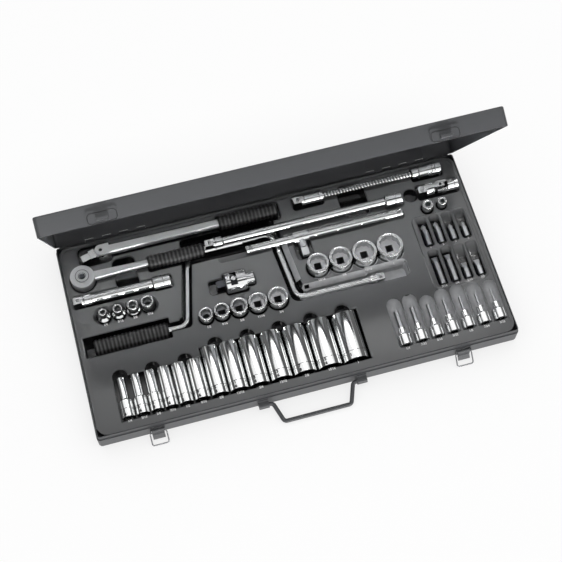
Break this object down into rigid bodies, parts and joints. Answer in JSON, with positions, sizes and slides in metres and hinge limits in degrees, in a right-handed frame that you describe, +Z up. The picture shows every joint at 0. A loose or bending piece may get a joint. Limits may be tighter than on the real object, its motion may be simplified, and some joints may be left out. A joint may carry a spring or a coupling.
{
  "type": "socket wrench set in case",
  "caption": "Square-drive socket wrench set seated in a moulded tray inside a hinged steel case with draw latches and a wire carry handle, for turning nuts and bolts",
  "frame": {"origin": "centre of the case's flat underside", "axes": "+X along the case to its right, +Y from the latches to the hinges, +Z up"},
  "size_m": [0.56, 0.3312, 0.2864],
  "materials": {
    "case_paint": "semi-gloss grey enamel",
    "plated_fittings": "bright nickel plate",
    "tray_plastic": "moulded dark grey",
    "polished_chrome": "polished chrome plate",
    "satin_steel": "satin chrome",
    "grip_black": "ribbed black",
    "dark_steel": "hardened dark steel"
  },
  "bodies": {
    "case": {"case_base": "case_paint", "base_hinge_leaves": "case_paint", "hinge_pins": "plated_fittings", "latch_plates": "plated_fittings", "latch_pins": "plated_fittings", "handle_brackets": "plated_fittings", "tray": "tray_plastic"},
    "lid": {"case_lid": "case_paint", "lid_hinge_leaves": "case_paint", "lid_catches": "plated_fittings"},
    "handle": {"carry_handle": "plated_fittings"},
    "left_lever": {"left_latch_lever": "plated_fittings"},
    "right_lever": {"right_latch_lever": "plated_fittings"},
    "left_loop": {"left_latch_loop": "plated_fittings"},
    "right_loop": {"right_latch_loop": "plated_fittings"},
    "breaker": {"breaker_bar": "polished_chrome", "breaker_grip": "grip_black", "breaker_pivot_pin": "dark_steel"},
    "breaker_head": {"breaker_drive_head": "polished_chrome"},
    "brace": {"brace_crank": "polished_chrome"},
    "brace_grip": {"brace_end_grip": "grip_black"},
    "brace_sleeve": {"brace_crank_sleeve": "polished_chrome"},
    "ratchet": {"ratchet_body": "polished_chrome", "ratchet_grip": "grip_black", "ratchet_cover": "satin_steel"},
    "ratchet_gear": {"ratchet_drive_gear": "polished_chrome"},
    "ratchet_dial": {"ratchet_reversing_dial": "satin_steel"},
    "pawl": {"ratchet_pawl": "dark_steel"},
    "ratchet_button": {"ratchet_release_button": "satin_steel"},
    "long_bar": {"long_extension": "polished_chrome"},
    "short_bar": {"short_extension": "polished_chrome"},
    "tee": {"tee_head": "polished_chrome"},
    "tee_slider": {"tee_bar": "polished_chrome"},
    "flex_near": {"flex_drive_end": "polished_chrome", "flex_winding": "satin_steel", "flex_core": "dark_steel"},
    "flex_far": {"flex_socket_end": "polished_chrome"},
    "joint_near": {"joint_female_yoke": "polished_chrome"},
    "joint_cross": {"joint_block": "dark_steel", "joint_pins": "dark_steel"},
    "joint_far": {"joint_male_yoke": "polished_chrome"},
    "adaptor": {"adaptor_body": "polished_chrome"},
    "adaptor_rotor": {"adaptor_drive": "polished_chrome"},
    "adaptor_button": {"adaptor_shift_button": "satin_steel"},
    "small_group": {"small_sockets": "polished_chrome"},
    "medium_group_left": {"medium_sockets_left": "polished_chrome"},
    "medium_group_right": {"medium_sockets_right": "polished_chrome"},
    "large_group": {"large_sockets": "polished_chrome"},
    "deep_group_1": {"smallest_deep_sockets": "polished_chrome"},
    "deep_group_2": {"small_deep_sockets": "polished_chrome"},
    "deep_group_3": {"medium_deep_sockets": "polished_chrome"},
    "deep_group_4": {"large_deep_sockets": "polished_chrome"},
    "bit_socket_group": {"bit_socket_holders": "polished_chrome", "bit_socket_bits": "satin_steel"},
    "cross_bit_group": {"cross_bits": "satin_steel"},
    "flat_bit_group": {"flat_bits": "satin_steel"},
    "bit_holder_group": {"bit_holders": "polished_chrome"}
  },
  "joints": [
    {"name": "lid_hinge", "type": "hinge", "parent": "case", "child": "lid", "pos_m": [0, 0.141, 0.02315], "axis": [-1, 0, 0], "range_deg": [-65.5, 45]},
    {"name": "handle_swing", "type": "hinge", "parent": "case", "child": "handle", "pos_m": [0, -0.1426, 0.011], "axis": [-1, 0, 0], "range_deg": [0, 100]},
    {"name": "left_lever_swing", "type": "hinge", "parent": "case", "child": "left_lever", "pos_m": [-0.2035, -0.1414, 0.019], "axis": [-1, 0, 0], "range_deg": [0, 150]},
    {"name": "left_loop_swing", "type": "hinge", "parent": "left_lever", "child": "left_loop", "pos_m": [-0.2035, -0.1414, 0.012], "axis": [1, 0, 0], "range_deg": [-127, 0]},
    {"name": "right_lever_swing", "type": "hinge", "parent": "case", "child": "right_lever", "pos_m": [0.2035, -0.1414, 0.019], "axis": [-1, 0, 0], "range_deg": [0, 150]},
    {"name": "right_loop_swing", "type": "hinge", "parent": "right_lever", "child": "right_loop", "pos_m": [0.2035, -0.1414, 0.012], "axis": [1, 0, 0], "range_deg": [-127, 0]},
    {"name": "breaker_lift", "type": "slide", "parent": "case", "child": "breaker", "axis": [0, 0, 1], "range_m": [0, 0.06]},
    {"name": "breaker_head_swing", "type": "hinge", "parent": "breaker", "child": "breaker_head", "pos_m": [-0.221, 0.116, 0.0315], "axis": [0, 0, 1], "range_deg": [-32, 4]},
    {"name": "brace_lift", "type": "slide", "parent": "case", "child": "brace", "axis": [0, 0, 1], "range_m": [0, 0.06]},
    {"name": "brace_grip_spin", "type": "hinge", "parent": "brace", "child": "brace_grip", "pos_m": [-0.258, -0.0126, 0.0185], "axis": [1, 0, 0], "continuous": true},
    {"name": "brace_sleeve_spin", "type": "hinge", "parent": "brace", "child": "brace_sleeve", "pos_m": [0, 0.088, 0.0185], "axis": [1, 0, 0], "continuous": true},
    {"name": "ratchet_lift", "type": "slide", "parent": "brace", "child": "ratchet", "axis": [0, 0, 1], "range_m": [0, 0.06]},
    {"name": "ratchet_drive_turn", "type": "hinge", "parent": "ratchet", "child": "ratchet_gear", "pos_m": [-0.252, 0.0825, 0.034], "axis": [0, 0, 1], "continuous": true},
    {"name": "reversing_dial_turn", "type": "hinge", "parent": "ratchet", "child": "ratchet_dial", "pos_m": [-0.252, 0.0825, 0.034], "axis": [0, 0, 1], "range_deg": [0, 40]},
    {"name": "pawl_rock", "type": "hinge", "parent": "ratchet", "child": "pawl", "pos_m": [-0.2389, 0.0825, 0.034], "axis": [0, 0, 1], "range_deg": [-13, 1]},
    {"name": "release_button_press", "type": "slide", "parent": "ratchet_gear", "child": "ratchet_button", "axis": [0, 0, 1], "range_m": [-0.003, 0], "stiffness_N_per_m": 600, "springref_m": 0.001},
    {"name": "long_bar_lift", "type": "slide", "parent": "brace", "child": "long_bar", "axis": [0, 0, 1], "range_m": [0, 0.06]},
    {"name": "short_bar_lift", "type": "slide", "parent": "case", "child": "short_bar", "axis": [0, 0, 1], "range_m": [0, 0.06]},
    {"name": "tee_lift", "type": "slide", "parent": "brace", "child": "tee", "axis": [0, 0, 1], "range_m": [0, 0.06]},
    {"name": "tee_bar_slide", "type": "slide", "parent": "tee", "child": "tee_slider", "axis": [-1, 0, 0], "range_m": [0, 0.036]},
    {"name": "flex_near_lift", "type": "slide", "parent": "case", "child": "flex_near", "axis": [0, 0, 1], "range_m": [0, 0.06]},
    {"name": "flex_bend", "type": "hinge", "parent": "flex_near", "child": "flex_far", "pos_m": [0.1498, 0.1193, 0.033], "axis": [0, -1, 0], "range_deg": [0, 30], "stiffness_Nm_per_rad": 0.2, "deforming": ["flex_winding", "flex_core"]},
    {"name": "joint_near_lift", "type": "slide", "parent": "case", "child": "joint_near", "axis": [0, 0, 1], "range_m": [0, 0.06]},
    {"name": "universal_tilt", "type": "hinge", "parent": "joint_near", "child": "joint_cross", "pos_m": [0.245, 0.0905, 0.033], "axis": [0, 1, 0], "range_deg": [0, 30]},
    {"name": "universal_swing", "type": "hinge", "parent": "joint_cross", "child": "joint_far", "pos_m": [0.245, 0.0905, 0.033], "axis": [0, 0, 1], "range_deg": [-9, 9]},
    {"name": "adaptor_lift", "type": "slide", "parent": "case", "child": "adaptor", "axis": [0, 0, 1], "range_m": [0, 0.06]},
    {"name": "adaptor_drive_turn", "type": "hinge", "parent": "adaptor", "child": "adaptor_rotor", "pos_m": [-0.0845, 0.027, 0.03], "axis": [1, 0, 0], "continuous": true},
    {"name": "adaptor_button_shift", "type": "hinge", "parent": "adaptor", "child": "adaptor_button", "pos_m": [-0.0845, 0.027, 0.03], "axis": [1, 0, 0], "range_deg": [-12, 12]},
    {"name": "small_group_lift", "type": "slide", "parent": "case", "child": "small_group", "axis": [0, 0, 1], "range_m": [0, 0.06]},
    {"name": "medium_group_left_lift", "type": "slide", "parent": "case", "child": "medium_group_left", "axis": [0, 0, 1], "range_m": [0, 0.06]},
    {"name": "medium_group_right_lift", "type": "slide", "parent": "case", "child": "medium_group_right", "axis": [0, 0, 1], "range_m": [0, 0.06]},
    {"name": "large_group_lift", "type": "slide", "parent": "case", "child": "large_group", "axis": [0, 0, 1], "range_m": [0, 0.06]},
    {"name": "deep_group_1_lift", "type": "slide", "parent": "case", "child": "deep_group_1", "axis": [0, 0, 1], "range_m": [0, 0.06]},
    {"name": "deep_group_2_lift", "type": "slide", "parent": "case", "child": "deep_group_2", "axis": [0, 0, 1], "range_m": [0, 0.06]},
    {"name": "deep_group_3_lift", "type": "slide", "parent": "case", "child": "deep_group_3", "axis": [0, 0, 1], "range_m": [0, 0.06]},
    {"name": "deep_group_4_lift", "type": "slide", "parent": "case", "child": "deep_group_4", "axis": [0, 0, 1], "range_m": [0, 0.06]},
    {"name": "bit_socket_group_lift", "type": "slide", "parent": "case", "child": "bit_socket_group", "axis": [0, 0, 1], "range_m": [0, 0.06]},
    {"name": "cross_bit_group_lift", "type": "slide", "parent": "case", "child": "cross_bit_group", "axis": [0, 0, 1], "range_m": [0, 0.06]},
    {"name": "flat_bit_group_lift", "type": "slide", "parent": "case", "child": "flat_bit_group", "axis": [0, 0, 1], "range_m": [0, 0.06]},
    {"name": "bit_holder_group_lift", "type": "slide", "parent": "case", "child": "bit_holder_group", "axis": [0, 0, 1], "range_m": [0, 0.06]}
  ],
  "couplings": [
    {"joint": "pawl_rock", "follows": "reversing_dial_turn", "ratio": -0.3}
  ]
}
